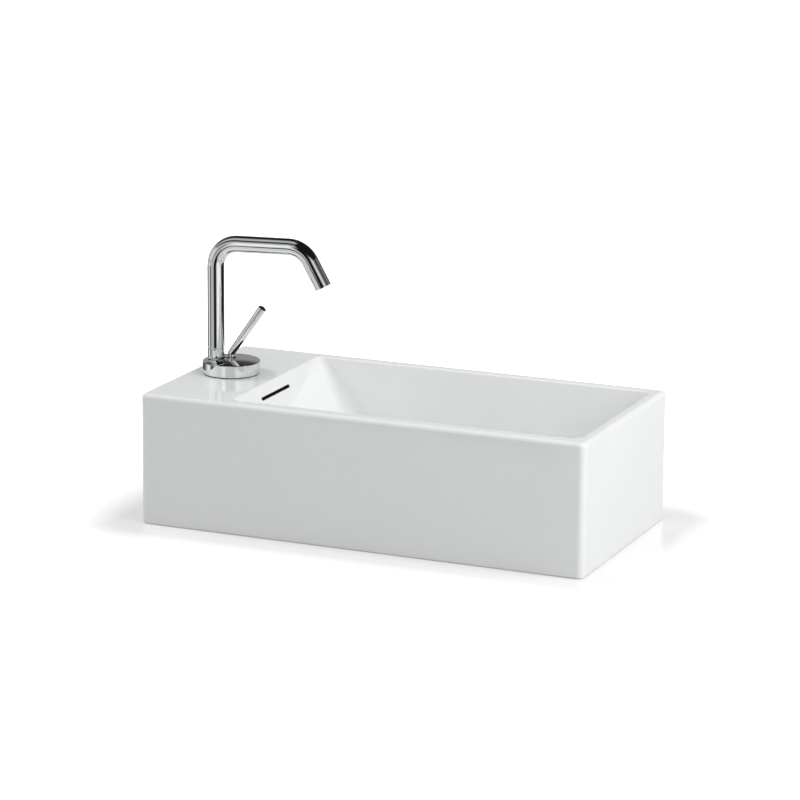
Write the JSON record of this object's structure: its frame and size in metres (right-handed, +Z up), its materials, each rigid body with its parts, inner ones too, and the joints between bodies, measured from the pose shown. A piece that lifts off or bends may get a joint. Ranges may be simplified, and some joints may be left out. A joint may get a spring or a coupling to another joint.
{
  "type": "wall hung basin",
  "caption": "Rectangular wall hung hand-rinse basin in white ceramic with a side tap ledge, a swivel-spout lever mixer and a press waste.",
  "frame": {"origin": "middle of the basin's bottom rim, on the floor it would stand on", "axes": "+X to the right along the front, from the tap ledge to the bowl; +Y to the wall; +Z up"},
  "size_m": [0.5, 0.25, 0.293],
  "materials": {
    "glazed_ceramic": "white sanitary glaze, gloss",
    "chrome": "polished chrome plate",
    "dark_cap": "dark gloss end cap",
    "rubber": "black rubber, matt",
    "brass": "machined brass",
    "steel": "stainless steel",
    "white_plastic": "moulded acetal, matt",
    "grey_plastic": "moulded plastic, matt",
    "disc_ceramic": "ground alumina ceramic"
  },
  "bodies": {
    "basin": {"basin_body": "glazed_ceramic", "mixer_base": "chrome", "threaded_shank": "brass", "base_seal": "rubber", "fixing_seal": "rubber", "fixing_washer": "steel", "fixing_nut": "brass", "ball_seal": "rubber", "cartridge_housing": "grey_plastic", "lower_disc": "disc_ceramic", "cartridge_base": "grey_plastic", "port_seals": "rubber", "inlet_block": "brass", "ring_nut": "brass", "glide_ring": "white_plastic", "spout_seal_lower": "rubber", "spout_seal_upper": "rubber", "waste_body": "chrome", "flange_seal": "rubber", "lower_seal": "rubber", "slip_washer": "white_plastic", "back_nut": "brass", "waste_spider": "white_plastic", "plug_barrel": "white_plastic", "plug_spring": "steel"},
    "spout": {"spout_tube": "chrome", "stop_screw": "steel", "aerator_sleeve": "chrome", "aerator_seal": "rubber", "jet_former": "grey_plastic"},
    "carrier": {"lever_carrier": "white_plastic"},
    "lever": {"lever_ball": "chrome", "lever_rod": "chrome", "lever_cap": "dark_cap", "lever_pivot": "steel"},
    "disc": {"disc_slider": "grey_plastic", "upper_disc": "disc_ceramic"},
    "plug": {"plug_cap": "chrome", "plug_seal": "rubber", "plug_stem": "steel"}
  },
  "joints": [
    {"name": "spout_swivel", "type": "hinge", "parent": "basin", "child": "spout", "pos_m": [-0.22024, -0.00295, 0.1693], "axis": [0, 0, 1], "range_deg": [-55, 55]},
    {"name": "lever_turn", "type": "hinge", "parent": "basin", "child": "carrier", "pos_m": [-0.2035, 0, 0.152], "axis": [0, 0, 1], "range_deg": [-45, 45]},
    {"name": "lever_tilt", "type": "hinge", "parent": "carrier", "child": "lever", "pos_m": [-0.2035, 0, 0.152], "axis": [0.1736, -0.9848, 0], "range_deg": [0, 17]},
    {"name": "disc_slide", "type": "slide", "parent": "carrier", "child": "disc", "axis": [0.9848, 0.1736, 0], "range_m": [0, 0.00352]},
    {"name": "plug_press", "type": "slide", "parent": "basin", "child": "plug", "axis": [0, 0, -1], "range_m": [0, 0.008], "stiffness_N_per_m": 400, "springref_m": -0.01, "deforming": ["plug_spring"]}
  ],
  "couplings": [
    {"joint": "disc_slide", "follows": "lever_tilt", "m_per_rad": 0.011825}
  ]
}
